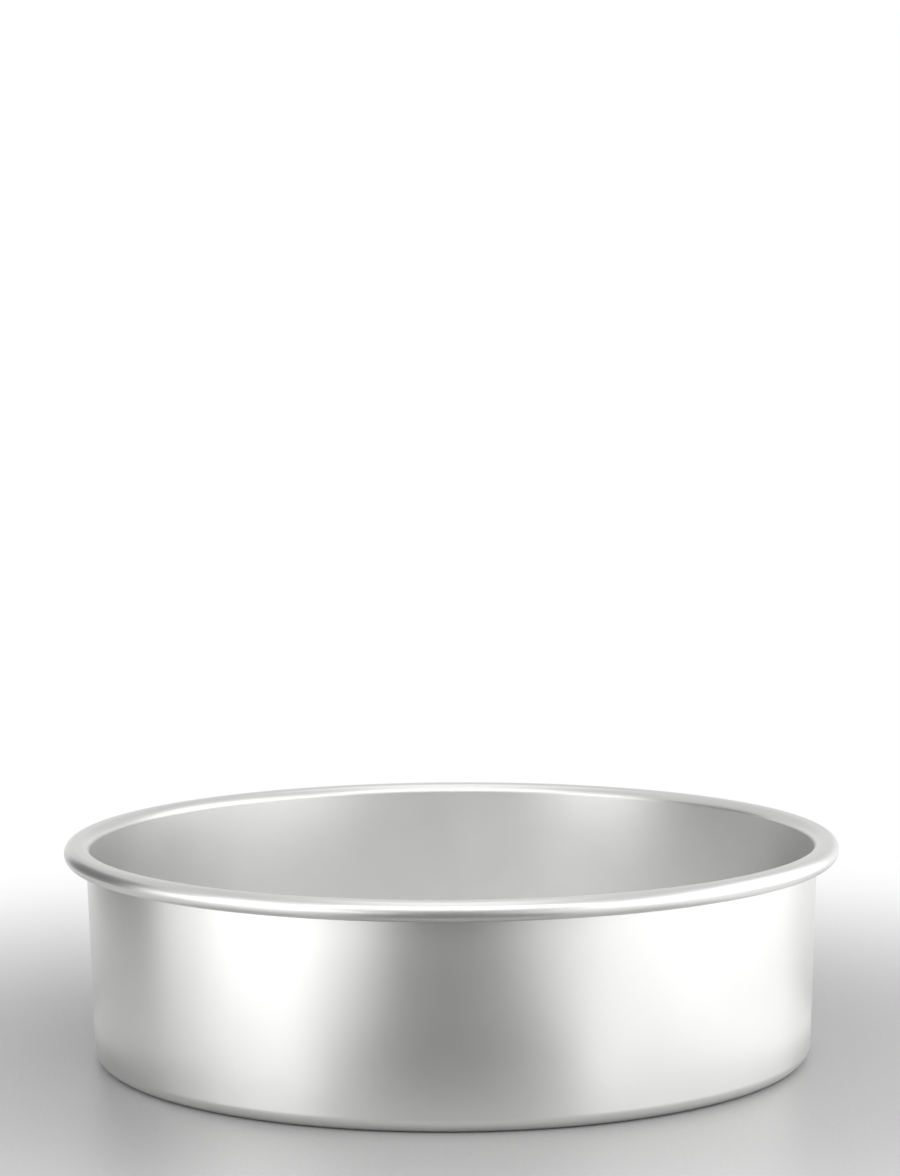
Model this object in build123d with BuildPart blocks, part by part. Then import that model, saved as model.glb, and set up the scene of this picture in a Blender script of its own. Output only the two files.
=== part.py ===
from build123d import *
import os
from math import acos, cos, degrees, radians, sin

# Round deep cake tin with a loose base, in satin aluminium sheet.
# The seamless tin is one drawn sheet: a flat ledge below, a leaning wall, and a mouth that is rolled
# outward into a hollow rim. The base is a pressed disc that lies on the ledge and lifts out upward.
# Millimetres, +Z up, origin at the centre of the circle that the tin stands on.

# Tin
mouth_diameter = 254.0    # across the inside, where the wall meets the rolled rim
tin_height = 76.2         # from the table to the top of the rim
tin_sheet = 1.2           # thickness of the drawn sheet
wall_draft = 1.9          # degrees that the wall leans outward
foot_radius = 3.8         # inside bend between the ledge and the wall
ledge_width = 10.0        # from the foot of the wall to the edge of the bottom opening

# Rolled rim
rim_height = 6.6          # from the top of the rim to its underside
rim_reach = 7.6           # how far the rim stands out from the wall
shoulder_radius = 3.4     # bend from the inside of the wall to the top of the rim
roll_gap = 0.5            # crevice between the tucked sheet and the wall
tuck_share = 0.9          # last bend's radius, as a share of the room that the roll leaves it
tuck_rise = 0.4           # straight end of the sheet, hidden inside the roll

# Loose base
base_sheet = 1.2          # thickness of the pressed disc
floor_lift = 0.3          # gap under the sunken floor, so that the tin stands on its own ledge
seat_clearance = 0.4      # play between the step round the floor and the edge of the opening
bend_radius = 0.8         # inside radius of both bends in that step
lip_clearance = 0.5       # play between the turned-up lip and the rounded foot of the wall
lip_turn = 70.0           # degrees that the lip is turned up
lip_round = 0.4           # rounding of both edges of the lip

# Wall: its inner face is a straight line that touches the foot bend below and the shoulder above
draft = radians(wall_draft)
mouth_radius = mouth_diameter / 2
shoulder_base = tin_height - shoulder_radius * (1 - sin(draft))
foot_top = tin_sheet + foot_radius * (1 - sin(draft))
wall_length = (shoulder_base - foot_top) / cos(draft)
wall_foot_radius = mouth_radius - wall_length * sin(draft)
foot_centre = wall_foot_radius - foot_radius * cos(draft)
opening_radius = wall_foot_radius - ledge_width

# Rim: the half round roll is as high as the rim, and the tucked end stays clear of the wall
wall_outside = mouth_radius + tin_sheet / cos(draft)
roll_radius = rim_height / 2
roll_centre = wall_outside + rim_reach - roll_radius
rim_underside = tin_height - rim_height
tuck_edge = wall_outside + roll_gap
tuck_radius = tuck_share * min(roll_radius, roll_centre - tuck_edge)
tuck_centre = tuck_edge + tuck_radius
tuck_end = rim_underside + tuck_radius + tuck_rise

# Step round the floor: two equal and opposite bends climb from the floor to the top of the ledge
step_rise = tin_sheet - floor_lift
step_radii = bend_radius + base_sheet + bend_radius
step_turn = acos(1 - step_rise / step_radii)
seat_start = opening_radius - seat_clearance
floor_radius = seat_start - step_radii * sin(step_turn)

# Lip: it follows the foot bend with its clearance
lip_radius = foot_radius - lip_clearance
lip_centre = foot_centre - lip_clearance

os.makedirs("parts", exist_ok=True)

# Tin body: the line is the middle of the sheet, from the bottom opening to the end tucked in the roll.
# Its two rounded ends are the sheet's trimmed edges.
half_sheet = tin_sheet / 2
with BuildPart() as tin_body:
    with BuildSketch(Plane.XZ):
        with BuildLine():
            ledge = Line((opening_radius + half_sheet, half_sheet), (foot_centre, half_sheet))
            foot = JernArc(ledge @ 1, ledge % 1, foot_radius + half_sheet, 90 - wall_draft)
            wall = PolarLine(foot @ 1, wall_length, direction=foot % 1)
            shoulder = JernArc(wall @ 1, wall % 1, shoulder_radius - half_sheet, wall_draft - 90)
            crown = Line(shoulder @ 1, (roll_centre, tin_height - half_sheet))
            roll = JernArc(crown @ 1, crown % 1, roll_radius - half_sheet, -180)
            underside = Line(roll @ 1, (tuck_centre, rim_underside + half_sheet))
            tuck = JernArc(underside @ 1, underside % 1, tuck_radius - half_sheet, -90)
            Line(tuck @ 1, (tuck_edge + half_sheet, tuck_end - half_sheet))
            offset(amount=half_sheet)
        make_face()
    revolve(axis=Axis.Z)
tin_body.part.label = "tin_body"
export_step(tin_body.part, "parts/tin_body.step")

# Loose base: the line is the underside of the disc, from its centre to the end of its lip.
# The floor sinks into the bottom opening, the flat ring outside it lies on the ledge.
with BuildPart() as loose_base:
    with BuildSketch(Plane.XZ) as base_section:
        with BuildLine():
            floor = Line((0, floor_lift), (floor_radius, floor_lift))
            climb = JernArc(floor @ 1, floor % 1, bend_radius + base_sheet, degrees(step_turn))
            level = JernArc(climb @ 1, climb % 1, bend_radius, -degrees(step_turn))
            seat = Line(level @ 1, (lip_centre, tin_sheet))
            JernArc(seat @ 1, seat % 1, lip_radius, lip_turn)
            offset(amount=base_sheet, side=Side.LEFT)
        make_face()
        fillet(base_section.vertices().sort_by(Axis.X)[-2:], radius=lip_round)
    revolve(axis=Axis.Z)
loose_base.part.label = "loose_base"
export_step(loose_base.part, "parts/loose_base.step")
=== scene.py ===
import bpy
from math import acos, ceil, cos, degrees, pi, radians, sin
from mathutils import Matrix, Vector


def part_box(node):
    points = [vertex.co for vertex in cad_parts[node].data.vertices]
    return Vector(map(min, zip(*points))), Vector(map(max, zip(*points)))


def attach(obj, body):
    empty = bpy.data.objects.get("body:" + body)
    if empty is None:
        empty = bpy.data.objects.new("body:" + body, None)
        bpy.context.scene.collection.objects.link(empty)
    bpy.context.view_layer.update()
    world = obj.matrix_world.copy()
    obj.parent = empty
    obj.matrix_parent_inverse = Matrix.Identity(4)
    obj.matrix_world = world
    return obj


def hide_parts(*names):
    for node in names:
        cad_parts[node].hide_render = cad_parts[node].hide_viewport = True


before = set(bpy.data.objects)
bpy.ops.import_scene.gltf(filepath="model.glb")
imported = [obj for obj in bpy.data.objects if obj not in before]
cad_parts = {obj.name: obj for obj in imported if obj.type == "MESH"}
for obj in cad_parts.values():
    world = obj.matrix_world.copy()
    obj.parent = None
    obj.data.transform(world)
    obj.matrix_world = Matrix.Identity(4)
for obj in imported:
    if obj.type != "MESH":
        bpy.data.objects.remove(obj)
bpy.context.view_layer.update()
scene = bpy.context.scene

# Camera, from the fit of the tin's outline to the photograph. It stands in front of the tin, on -Y.
PHOTO_HEIGHT = 1176
CAMERA_DISTANCE = 1.2084
CAMERA_ELEVATION = radians(12.536)
CAMERA_PITCH = radians(4.779)
CAMERA_ROLL = radians(-0.347)
FOCAL_PIXELS = 3379.1
CLIP_NEAR = 0.05
CLIP_FAR = 50.0

# Tin, in metres. Its height and its largest radius come from the frame.
tin_low, tin_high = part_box("tin_body")
TIN_HEIGHT = tin_high.z
RIM_RADIUS = tin_high.x
TIN_SHEET = 0.0012
WALL_DRAFT = 1.9          # degrees that the wall leans outward
FOOT_RADIUS = 0.0038      # inside bend between the ledge and the wall
LEDGE_WIDTH = 0.010

# Rolled rim
RIM_HEIGHT = 0.0066
RIM_REACH = 0.0076        # how far the rim stands out from the wall
SHOULDER_RADIUS = 0.0034  # bend from the inside of the wall to the top of the rim
ROLL_GAP = 0.0005         # crevice between the tucked sheet and the wall
TUCK_SHARE = 0.9          # last bend's radius, as a share of the room that the roll leaves it
TUCK_RISE = 0.0004        # straight end of the sheet, hidden inside the roll

# Loose base
BASE_SHEET = 0.0012
FLOOR_LIFT = 0.0003       # gap under the sunken floor
SEAT_CLEARANCE = 0.0004   # play between the step round the floor and the edge of the opening
BEND_RADIUS = 0.0008      # inside radius of both bends in that step
LIP_CLEARANCE = 0.0005    # play between the turned-up lip and the foot of the wall
LIP_TURN = 70.0           # degrees that the lip is turned up
LIP_ROUND = 0.0004        # rounding of both edges of the lip

# Fineness of the meshes
SEGMENTS = 480            # round the axis
BEND_STEP = radians(6)    # along a bend
AXIS_REACH = 0.000012     # points closer to the axis than this lie on it


# Shapes of sheet: the middle line of the sheet, the outline round it, and its turning about Z

def straight(length):
    """One run of a sheet's middle line."""
    return length, 0.0, 0.0


def bend(radius, turn):
    """One run of a sheet's middle line, turned by so many degrees, upward when that is positive."""
    return 0.0, radius, radians(turn)


def heading_vector(heading):
    return Vector((cos(heading), sin(heading)))


def left_of(heading):
    return Vector((-sin(heading), cos(heading)))


def middle_line(start, runs):
    """Points and headings of a line of tangent runs in the plane of radius and height, from a level start."""
    spot, heading = Vector(start), 0.0
    line = [(spot, heading)]
    for length, radius, turn in runs:
        if turn:
            side = 1 if turn > 0 else -1
            centre = spot + side * radius * left_of(heading)
            steps = ceil(abs(turn) / BEND_STEP)
            for _ in range(steps):
                heading += turn / steps
                spot = centre - side * radius * left_of(heading)
                line.append((spot, heading))
        else:
            spot = spot + length * heading_vector(heading)
            line.append((spot, heading))
    return line


def edge_round(spot, heading, half, rounding):
    """Outline round a trimmed edge of the sheet, from its right side to its left side, with normals."""
    forward, left = heading_vector(heading), left_of(heading)
    steps = ceil(pi / 2 / BEND_STEP)
    points = []
    for step in range(1, steps + 1):
        way = -left * cos(step / steps * pi / 2) + forward * sin(step / steps * pi / 2)
        points.append((spot - (half - rounding) * left + rounding * way, way))
    for step in range(0 if rounding < half else 1, steps):
        way = forward * cos(step / steps * pi / 2) + left * sin(step / steps * pi / 2)
        points.append((spot + (half - rounding) * left + rounding * way, way))
    return points


def sheet_outline(line, sheet, rounding, closed):
    """Outline of a sheet round its middle line, with normals. An open one starts and ends on the axis."""
    half = sheet / 2
    right = [(spot - half * left_of(heading), -left_of(heading)) for spot, heading in line]
    left = [(spot + half * left_of(heading), left_of(heading)) for spot, heading in reversed(line)]
    outline = right + edge_round(*line[-1], half, rounding) + left
    if closed:
        spot, heading = line[0]
        outline += edge_round(spot, heading + pi, half, rounding)
    return outline


def lathe(name, outline, closed, material):
    """A mesh of revolution about Z, with the outline's own normals."""
    points, normals, rows, faces = [], [], [], []
    for spot, normal in outline:
        on_axis = spot.x < AXIS_REACH
        angles = [0.0] if on_axis else [2 * pi * k / SEGMENTS for k in range(SEGMENTS)]
        rows.append(range(len(points), len(points) + len(angles)))
        for angle in angles:
            radius = 0.0 if on_axis else spot.x
            points.append((radius * cos(angle), radius * sin(angle), spot.y))
            flat = 0.0 if on_axis else normal.x
            normals.append((flat * cos(angle), flat * sin(angle), normal.y))
    pairs = list(zip(rows, rows[1:]))
    if closed:
        pairs.append((rows[-1], rows[0]))
    for here, there in pairs:
        for k in range(SEGMENTS):
            face = [here[k % len(here)]]
            if len(here) > 1:
                face.append(here[(k + 1) % len(here)])
            if len(there) > 1:
                face.append(there[(k + 1) % len(there)])
            face.append(there[k % len(there)])
            faces.append(face)
    mesh = bpy.data.meshes.new(name)
    mesh.from_pydata(points, [], faces)
    mesh.polygons.foreach_set("use_smooth", [True] * len(faces))
    mesh.normals_split_custom_set_from_vertices([Vector(normal).normalized() for normal in normals])
    mesh.materials.append(material)
    piece = bpy.data.objects.new(name, mesh)
    scene.collection.objects.link(piece)
    return piece


def tin_sheet_outline():
    draft = radians(WALL_DRAFT)
    half = TIN_SHEET / 2
    wall_outside = RIM_RADIUS - RIM_REACH
    mouth_radius = wall_outside - TIN_SHEET / cos(draft)
    shoulder_base = TIN_HEIGHT - SHOULDER_RADIUS * (1 - sin(draft))
    foot_top = TIN_SHEET + FOOT_RADIUS * (1 - sin(draft))
    wall_length = (shoulder_base - foot_top) / cos(draft)
    foot_centre = mouth_radius - wall_length * sin(draft) - FOOT_RADIUS * cos(draft)
    opening_radius = foot_centre + FOOT_RADIUS * cos(draft) - LEDGE_WIDTH
    shoulder_centre = mouth_radius + SHOULDER_RADIUS * cos(draft)
    roll_radius = RIM_HEIGHT / 2
    roll_centre = RIM_RADIUS - roll_radius
    tuck_edge = wall_outside + ROLL_GAP
    tuck_radius = TUCK_SHARE * min(roll_radius, roll_centre - tuck_edge)
    runs = [
        straight(foot_centre - opening_radius - half),
        bend(FOOT_RADIUS + half, 90 - WALL_DRAFT),
        straight(wall_length),
        bend(SHOULDER_RADIUS - half, WALL_DRAFT - 90),
        straight(roll_centre - shoulder_centre),
        bend(roll_radius - half, -180),
        straight(roll_centre - tuck_edge - tuck_radius),
        bend(tuck_radius - half, -90),
        straight(TUCK_RISE)]
    line = middle_line((opening_radius + half, half), runs)
    return sheet_outline(line, TIN_SHEET, half, closed=True), opening_radius, foot_centre


def base_sheet_outline(opening_radius, foot_centre):
    half = BASE_SHEET / 2
    step_radii = 2 * BEND_RADIUS + BASE_SHEET
    step_turn = acos(1 - (TIN_SHEET - FLOOR_LIFT) / step_radii)
    floor_radius = opening_radius - SEAT_CLEARANCE - step_radii * sin(step_turn)
    seat_start = opening_radius - SEAT_CLEARANCE
    lip_centre = foot_centre - LIP_CLEARANCE
    lip_radius = FOOT_RADIUS - LIP_CLEARANCE - half
    runs = [
        straight(floor_radius),
        bend(BEND_RADIUS + half, degrees(step_turn)),
        bend(BEND_RADIUS + half, -degrees(step_turn)),
        straight(lip_centre - seat_start),
        bend(lip_radius, LIP_TURN - degrees(LIP_ROUND / lip_radius))]
    line = middle_line((0.0, FLOOR_LIFT + half), runs)
    return sheet_outline(line, BASE_SHEET, LIP_ROUND, closed=False)


# Small helpers for materials

NOISE_LOW = 0.3           # most of a noise lies between these two levels
NOISE_HIGH = 0.7


def new_material(name):
    """An empty node material with its principled shader."""
    material = bpy.data.materials.new(name)
    material.use_nodes = True
    tree = material.node_tree
    tree.nodes.clear()
    output = tree.nodes.new("ShaderNodeOutputMaterial")
    shader = tree.nodes.new("ShaderNodeBsdfPrincipled")
    tree.links.new(shader.outputs[0], output.inputs["Surface"])
    return material, tree, shader


def node(tree, kind, inputs=None, **settings):
    """One shader node, with its settings, and its inputs set to values or linked to sockets."""
    made = tree.nodes.new(kind)
    for key, value in settings.items():
        setattr(made, key, value)
    for key, value in (inputs or {}).items():
        if isinstance(value, bpy.types.NodeSocket):
            tree.links.new(value, made.inputs[key])
        else:
            made.inputs[key].default_value = value
    return made


def value_math(tree, operation, first, second):
    return node(tree, "ShaderNodeMath", {0: first, 1: second}, operation=operation).outputs[0]


def vector_math(tree, operation, first, second=(0.0, 0.0, 0.0), output="Vector"):
    return node(tree, "ShaderNodeVectorMath", {0: first, 1: second}, operation=operation).outputs[output]


def noise(tree, place, size, detail=2.0):
    """Noise between 0 and 1, with features of the given size in metres."""
    inputs = {"Vector": place, "Scale": 1 / size, "Detail": detail}
    return node(tree, "ShaderNodeTexNoise", inputs).outputs["Fac"]


def between(tree, value, start, end, low=0.0, high=1.0, kind="LINEAR"):
    """Low where the value is at start, high where it is at end, and clamped outside."""
    inputs = {"Value": value, "From Min": start, "From Max": end, "To Min": low, "To Max": high}
    return node(tree, "ShaderNodeMapRange", inputs, interpolation_type=kind).outputs[0]


def mix_colour(tree, mask, first, second):
    """The first colour where the mask is 0 and the second where it is 1. The colour sockets go by number."""
    made = node(tree, "ShaderNodeMix", {"Factor": mask, 6: first, 7: second}, data_type="RGBA")
    return made.outputs[2]


def mix_shader(tree, mask, first, second):
    """The first shader where the mask is 0 and the second where it is 1, linked to the material's surface."""
    made = node(tree, "ShaderNodeMixShader", {0: mask, 1: first.outputs[0], 2: second.outputs[0]})
    tree.links.new(made.outputs[0], tree.nodes["Material Output"].inputs["Surface"])


def total(tree, values):
    """The sum of several values."""
    result = values[0]
    for value in values[1:]:
        result = value_math(tree, "ADD", result, value)
    return result


def strongest(tree, masks):
    result = masks[0]
    for mask in masks[1:]:
        result = value_math(tree, "MAXIMUM", result, mask)
    return result


def swing(tree, value, low, high):
    """Carries a noise over to a range."""
    return between(tree, value, NOISE_LOW, NOISE_HIGH, low, high)


# Satin aluminium. The tin and its base are the same metal, and differ in their marks.

METAL_DARK = (0.765, 0.765, 0.757, 1.0)
METAL_LIGHT = (0.795, 0.795, 0.787, 1.0)
METAL_BARE = (0.880, 0.880, 0.872, 1.0)   # trimmed edges, where the finish is cut away
METAL_SCUFFED = (0.660, 0.660, 0.652, 1.0)
SATIN_ROUGHNESS = 0.35
SATIN_STRETCH = 0.5       # how much further the sheen spreads across the turning marks than along them
QUARTER_TURN = 0.25       # turns that spread from round the axis to across the marks
MICROMETRE = 1e-6

# Sizes and reaches of the marks, in metres
CLOUD_SIZE = 0.045        # slow changes of tone
WAVE_SIZE = 0.05          # slight waves in the sheet
SMUDGE_SIZE = 0.028       # patches left by handling
BAND_SIZE = 0.011         # groups of turning lines
STREAK_SIZE = 0.0011
SCUFF_SIZE = 0.0016
GRAIN_SIZE = 0.00028
FOOT_WEAR = 0.002         # how far the wear reaches from the line on which the tin stands
STEP_WEAR = 0.0016        # how far it reaches from the foot of the step round the base's floor

# Their forms and strengths, as shares
STREAK_SQUASH = 0.03      # of the height, so that a streak is about 33 times as long as wide
SMUDGE_EDGE = (0.56, 0.72)   # levels of their noise at which they set in and are full
SCUFF_EDGE = (0.42, 0.62)
SCUFF_COVER = 0.6         # how much of a scuff's own colour shows

# How far each mark moves the roughness
CLOUD_SHIFT = 0.012
LINE_SHIFT = 0.012
BAND_SHIFT = 0.006
STREAK_SHIFT = 0.008
SMUDGE_SHIFT = 0.02
SCUFF_SHIFT = 0.12
CUT_SHIFT = 0.08

# How deep they are, in micrometres. Turning lines and streaks differ from piece to piece.
GRAIN_DEPTH = 1.6
WAVE_DEPTH = 14.0
SCUFF_DEPTH = 3.0


def section_place(tree, place):
    """Radius and height of each point, which are the same all round the axis."""
    level = vector_math(tree, "MULTIPLY", place, (1.0, 1.0, 0.0))
    radius = vector_math(tree, "LENGTH", level, output="Value")
    height = node(tree, "ShaderNodeSeparateXYZ", {0: place}).outputs["Z"]
    return node(tree, "ShaderNodeCombineXYZ", {"X": radius, "Y": height}).outputs[0]


def near_ring(tree, section, radius, height, reach):
    """One at a ring round the axis, and zero from the reach on."""
    distance = vector_math(tree, "DISTANCE", section, (radius, height, 0.0), output="Value")
    return between(tree, distance, reach, reach / 2, kind="SMOOTHSTEP")


def satin_aluminium(name, line_size, line_depth, streak_depth, cut_rings, worn_rings):
    """Satin metal with turning marks round the axis and faint streaks along the draw.

    The sizes and the rings are in metres, and both depths in micrometres.
    """
    material, tree, shader = new_material(name)
    place = node(tree, "ShaderNodeTexCoord").outputs["Object"]
    section = section_place(tree, place)
    cloud = noise(tree, place, CLOUD_SIZE, detail=3.0)
    smudge = between(tree, noise(tree, place, SMUDGE_SIZE, detail=4.0), *SMUDGE_EDGE)
    grain = noise(tree, place, GRAIN_SIZE, detail=1.0)
    lines = noise(tree, section, line_size, detail=4.0)
    bands = noise(tree, section, BAND_SIZE)
    squashed = vector_math(tree, "MULTIPLY", place, (1.0, 1.0, STREAK_SQUASH))
    streaks = noise(tree, squashed, STREAK_SIZE, detail=3.0)
    waves = noise(tree, place, WAVE_SIZE, detail=1.0)
    cut = strongest(tree, [near_ring(tree, section, *ring) for ring in cut_rings])
    worn = strongest(tree, [near_ring(tree, section, *ring) for ring in worn_rings])
    broken = between(tree, noise(tree, place, SCUFF_SIZE, detail=4.0), *SCUFF_EDGE)
    scuffs = value_math(tree, "MULTIPLY", worn, broken)

    colour = mix_colour(tree, swing(tree, cloud, 0.0, 1.0), METAL_DARK, METAL_LIGHT)
    colour = mix_colour(tree, value_math(tree, "MULTIPLY", scuffs, SCUFF_COVER), colour, METAL_SCUFFED)
    colour = mix_colour(tree, cut, colour, METAL_BARE)
    tree.links.new(colour, shader.inputs["Base Color"])

    roughness = total(tree, [
        SATIN_ROUGHNESS,
        swing(tree, cloud, -CLOUD_SHIFT, CLOUD_SHIFT),
        swing(tree, lines, -LINE_SHIFT, LINE_SHIFT),
        swing(tree, bands, -BAND_SHIFT, BAND_SHIFT),
        swing(tree, streaks, -STREAK_SHIFT, STREAK_SHIFT),
        value_math(tree, "MULTIPLY", smudge, SMUDGE_SHIFT),
        value_math(tree, "MULTIPLY", scuffs, SCUFF_SHIFT),
        value_math(tree, "MULTIPLY", cut, CUT_SHIFT)])
    tree.links.new(roughness, shader.inputs["Roughness"])

    heights = total(tree, [
        value_math(tree, "MULTIPLY", grain, GRAIN_DEPTH),
        value_math(tree, "MULTIPLY", lines, line_depth),
        value_math(tree, "MULTIPLY", streaks, streak_depth),
        value_math(tree, "MULTIPLY", waves, WAVE_DEPTH),
        value_math(tree, "MULTIPLY", scuffs, SCUFF_DEPTH)])
    bump = node(tree, "ShaderNodeBump", {"Height": heights, "Distance": MICROMETRE, "Strength": 1.0})
    tree.links.new(bump.outputs[0], shader.inputs["Normal"])

    tangent = node(tree, "ShaderNodeTangent", direction_type="RADIAL", axis="Z")
    tree.links.new(tangent.outputs[0], shader.inputs["Tangent"])
    shader.inputs["Anisotropic"].default_value = SATIN_STRETCH
    shader.inputs["Anisotropic Rotation"].default_value = QUARTER_TURN
    shader.inputs["Metallic"].default_value = 1.0
    return material


# The two pieces

tin_outline, opening_radius, foot_centre = tin_sheet_outline()
tin_metal = satin_aluminium(
    "satin_tin", line_size=0.0006, line_depth=1.0, streak_depth=1.2,
    cut_rings=[(opening_radius, TIN_SHEET / 2, TIN_SHEET)],
    worn_rings=[(foot_centre, 0.0, FOOT_WEAR)])
tin = lathe("tin_body_sheet", tin_outline, True, tin_metal)
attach(tin, "tin")
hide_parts("tin_body")

base_outline = base_sheet_outline(opening_radius, foot_centre)
lip_edge = base_outline[len(base_outline) // 2][0]
base_metal = satin_aluminium(
    "satin_base", line_size=0.0009, line_depth=2.4, streak_depth=0.0,
    cut_rings=[(lip_edge.x, lip_edge.y, BASE_SHEET)],
    worn_rings=[(opening_radius, FLOOR_LIFT, STEP_WEAR)])
base = lathe("loose_base_sheet", base_outline, False, base_metal)
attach(base, "base")
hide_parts("loose_base")


# Stage: a round floor of pale paper that goes over into white, and stays grey near the tin as a painted
# shadow pool, and three grey cards round the tin. The cards are painted dark reflections, which only the
# metal's reflections show: they darken the middle of the wall, the lower edge of the rim and the left edge of
# the wall.

FLOOR_RADIUS = 12.0
FLOOR_SIDES = 96
FLOOR_PALE = (0.42, 0.42, 0.42, 1.0)
FLOOR_FLECK = (0.40, 0.40, 0.40, 1.0)
PAPER_ROUGHNESS = 0.40
PAPER_SHIFT = 0.02        # its fibres move the roughness that far
PAPER_SHEEN = 1.0
FIBRE_SIZE = 0.0015
FADE_START = 0.13         # from this distance on the paper goes over into white; nearer the tin it stays grey, a painted shadow pool
FADE_END = 0.44
WHITE = (1.0, 1.0, 1.0, 1.0)

# Grey of the cards, which only reflections show: painted dark reflections in the metal.
REFLECTION_GREY_PALE = (0.20, 0.20, 0.20, 1.0)
REFLECTION_GREY_DARK = (0.18, 0.18, 0.18, 1.0)
REFLECTION_GREY_SIZE = 0.003

# The front card lies on the floor, the back card stands behind the camera, the left card beside the tin
FRONT_CARD_FRONT = -0.9
FRONT_CARD_BACK = -0.16
FRONT_CARD_LEFT = -0.12
FRONT_CARD_RIGHT = 0.09
FRONT_CARD_LIFT = 0.001
BACK_CARD_REACH = 0.6     # half its width
BACK_CARD_PLACE = -1.3
BACK_CARD_TOP = 0.32
LEFT_CARD_PLACE = -0.35
LEFT_CARD_FRONT = -0.03
LEFT_CARD_BACK = 0.35
LEFT_CARD_TOP = 0.24


def stage_piece(name, points, material):
    mesh = bpy.data.meshes.new(name)
    mesh.from_pydata(points, [], [range(len(points))])
    mesh.materials.append(material)
    piece = bpy.data.objects.new(name, mesh)
    scene.collection.objects.link(piece)
    return piece


def card(name, corners, material):
    """A card that only reflections show, a painted dark reflection. It faces the side from which its corners
    run anticlockwise.
    """
    piece = stage_piece(name, corners, material)
    piece.visible_camera = False
    piece.visible_diffuse = False
    piece.visible_shadow = False


def floor_paper():
    """Pale satin paper that looks white further out and stays grey near the tin, a painted shadow pool round
    it. The light that it throws back stays the paper's.
    """
    material, tree, shader = new_material("floor_paper")
    place = node(tree, "ShaderNodeTexCoord").outputs["Object"]
    fibres = noise(tree, place, FIBRE_SIZE, detail=3.0)
    colour = mix_colour(tree, swing(tree, fibres, 0.0, 1.0), FLOOR_FLECK, FLOOR_PALE)
    roughness = swing(tree, fibres, PAPER_ROUGHNESS + PAPER_SHIFT, PAPER_ROUGHNESS - PAPER_SHIFT)
    tree.links.new(colour, shader.inputs["Base Color"])
    tree.links.new(roughness, shader.inputs["Roughness"])
    shader.inputs["Specular IOR Level"].default_value = PAPER_SHEEN

    path = node(tree, "ShaderNodeLightPath").outputs
    seen = strongest(tree, [path["Is Camera Ray"], path["Is Glossy Ray"], path["Is Transmission Ray"]])
    distance = vector_math(tree, "LENGTH", place, output="Value")
    # Painted shadow: close to the tin the paper stays grey for the camera and for reflections, and further
    # out it turns white.
    white_past_shadow_pool = between(tree, distance, FADE_START, FADE_END, kind="SMOOTHSTEP")
    white = node(tree, "ShaderNodeEmission", {"Color": WHITE, "Strength": 1.0})
    mix_shader(tree, value_math(tree, "MULTIPLY", seen, white_past_shadow_pool), shader, white)
    material.cycles.emission_sampling = "NONE"
    return material


def dark_reflection_card():
    """Grey of the cards that paint dark reflections, mottled like felt. The back of a card lets everything
    through, so that the floor's sheen does not show it.
    """
    material, tree, shader = new_material("dark_reflection_card")
    place = node(tree, "ShaderNodeTexCoord").outputs["Object"]
    tone = noise(tree, place, REFLECTION_GREY_SIZE)
    tree.links.new(mix_colour(tree, tone, REFLECTION_GREY_DARK, REFLECTION_GREY_PALE), shader.inputs["Base Color"])
    shader.inputs["Roughness"].default_value = 1.0
    shader.inputs["Specular IOR Level"].default_value = 0.0
    behind = node(tree, "ShaderNodeNewGeometry").outputs["Backfacing"]
    mix_shader(tree, behind, shader, node(tree, "ShaderNodeBsdfTransparent"))
    return material


floor_turns = [2 * pi * k / FLOOR_SIDES for k in range(FLOOR_SIDES)]
floor_corners = [(FLOOR_RADIUS * cos(turn), FLOOR_RADIUS * sin(turn), 0.0) for turn in floor_turns]
stage_piece("floor", floor_corners, floor_paper())

dark_reflection_grey = dark_reflection_card()
card("front_card", [
    (FRONT_CARD_LEFT, FRONT_CARD_FRONT, FRONT_CARD_LIFT),
    (FRONT_CARD_RIGHT, FRONT_CARD_FRONT, FRONT_CARD_LIFT),
    (FRONT_CARD_RIGHT, FRONT_CARD_BACK, FRONT_CARD_LIFT),
    (FRONT_CARD_LEFT, FRONT_CARD_BACK, FRONT_CARD_LIFT)], dark_reflection_grey)
card("back_card", [
    (BACK_CARD_REACH, BACK_CARD_PLACE, 0.0),
    (-BACK_CARD_REACH, BACK_CARD_PLACE, 0.0),
    (-BACK_CARD_REACH, BACK_CARD_PLACE, BACK_CARD_TOP),
    (BACK_CARD_REACH, BACK_CARD_PLACE, BACK_CARD_TOP)], dark_reflection_grey)
card("left_card", [
    (LEFT_CARD_PLACE, LEFT_CARD_BACK, 0.0),
    (LEFT_CARD_PLACE, LEFT_CARD_BACK, LEFT_CARD_TOP),
    (LEFT_CARD_PLACE, LEFT_CARD_FRONT, LEFT_CARD_TOP),
    (LEFT_CARD_PLACE, LEFT_CARD_FRONT, 0.0)], dark_reflection_grey)


# Light: a white surround, and softboxes beside, in front of and above the tin

RIGHT = 1
LEFT = -1
SIDE_DISTANCE = 0.62
FLOOR_LAMP_LIFT = 0.002
HORIZON_TOP = radians(5.5)   # just above what the camera sees
DOME_START = radians(14)
DOME_LEVEL = 0.70


def panel(name, centre, facing, width, height, radiance):
    """A rectangular softbox that a mirror would show as bright as its radiance."""
    lamp = bpy.data.lights.new(name, "AREA")
    lamp.shape = "RECTANGLE"
    lamp.size = width
    lamp.size_y = height
    lamp.energy = radiance * width * height * pi
    box = bpy.data.objects.new(name, lamp)
    box.location = centre
    box.rotation_euler = Vector(facing).to_track_quat("-Z", "Y").to_euler()
    box.visible_camera = False
    scene.collection.objects.link(box)


def side_panel(name, side, front, back, low, high, radiance):
    """A softbox that stands beside the tin and faces it."""
    centre = (side * SIDE_DISTANCE, (front + back) / 2, (low + high) / 2)
    panel(name, centre, (-side, 0, 0), back - front, high - low, radiance)


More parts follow.
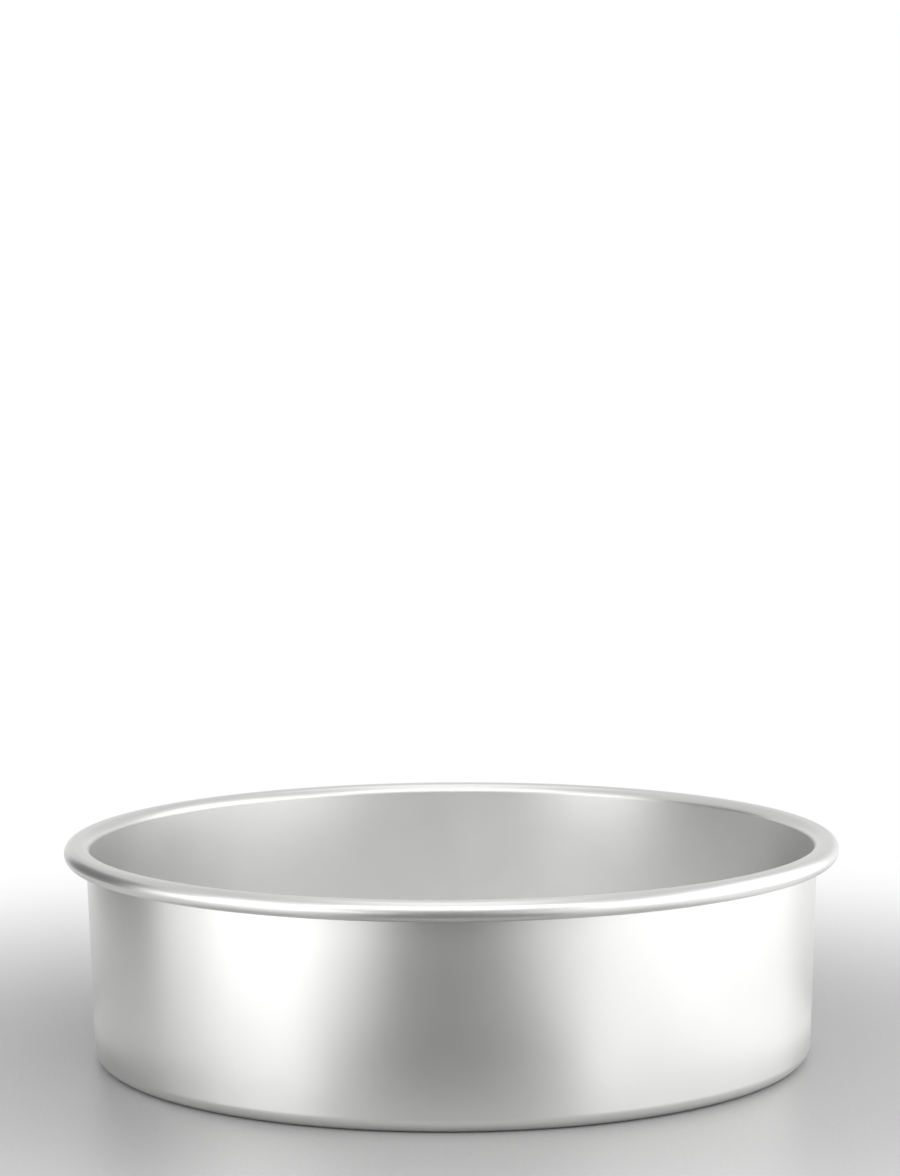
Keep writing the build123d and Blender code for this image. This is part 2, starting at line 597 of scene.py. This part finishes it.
def floor_panel(name, left, right, front, back, radiance):
    """A softbox that lies on the floor and faces up."""
    centre = ((left + right) / 2, (front + back) / 2, FLOOR_LAMP_LIFT)
    panel(name, centre, (0, 0, 1), right - left, back - front, radiance)


side_panel("right_low", RIGHT, front=-0.8, back=0.4, low=0.0, high=0.15, radiance=1.75)
side_panel("right_core", RIGHT, front=-0.22, back=0.12, low=0.0, high=0.15, radiance=0.7)
side_panel("right_high", RIGHT, front=-0.8, back=0.4, low=0.15, high=0.6, radiance=0.85)
side_panel("right_back", RIGHT, front=0.0, back=0.5, low=0.2, high=0.7, radiance=0.9)
side_panel("left_low", LEFT, front=-0.8, back=-0.22, low=0.0, high=0.15, radiance=2.55)
side_panel("left_core", LEFT, front=-0.22, back=-0.05, low=0.0, high=0.15, radiance=0.7)
side_panel("left_high", LEFT, front=-0.8, back=-0.22, low=0.15, high=0.6, radiance=0.8)
floor_panel("left_floor", left=-0.6, right=-0.19, front=-0.8, back=-0.45, radiance=2.2)
floor_panel("right_beside", left=0.14, right=0.22, front=-0.14, back=0.05, radiance=0.3)
floor_panel("right_before", left=0.07, right=0.24, front=-0.24, back=-0.14, radiance=0.18)
floor_panel("left_beside", left=-0.20, right=-0.14, front=-0.14, back=0.05, radiance=0.2)
floor_panel("left_before", left=-0.20, right=-0.07, front=-0.24, back=-0.14, radiance=0.3)
panel("top", centre=(0.0, 0.3, 1.1), facing=(0, 0, -1), width=0.5, height=1.2, radiance=0.55)
panel("front_high", centre=(0.0, -0.95, 0.95), facing=(0, 1, -0.9), width=1.6, height=0.5, radiance=2.2)


def surround():
    """White at the horizon, where the camera sees it, and dimmer above."""
    world = bpy.data.worlds.new("surround")
    world.use_nodes = True
    tree = world.node_tree
    way = node(tree, "ShaderNodeTexCoord").outputs["Generated"]
    height = node(tree, "ShaderNodeSeparateXYZ", {0: way}).outputs["Z"]
    strength = between(tree, height, sin(HORIZON_TOP), sin(DOME_START), 1.0, DOME_LEVEL, kind="SMOOTHSTEP")
    tree.links.new(strength, tree.nodes["Background"].inputs["Strength"])
    tree.nodes["Background"].inputs["Color"].default_value = WHITE
    return world


scene.world = surround()

# Camera

camera_data = bpy.data.cameras.new("photo_camera")
camera_data.lens = camera_data.sensor_width * FOCAL_PIXELS / PHOTO_HEIGHT
camera_data.clip_start = CLIP_NEAR
camera_data.clip_end = CLIP_FAR
camera = bpy.data.objects.new("photo_camera", camera_data)
scene.collection.objects.link(camera)
camera.location = (0.0, -CAMERA_DISTANCE * cos(CAMERA_ELEVATION), CAMERA_DISTANCE * sin(CAMERA_ELEVATION))
turn = Matrix.Rotation(radians(90) - CAMERA_PITCH, 3, "X") @ Matrix.Rotation(CAMERA_ROLL, 3, "Z")
camera.rotation_euler = turn.to_euler()
scene.camera = camera

scene.view_settings.view_transform = "Standard"
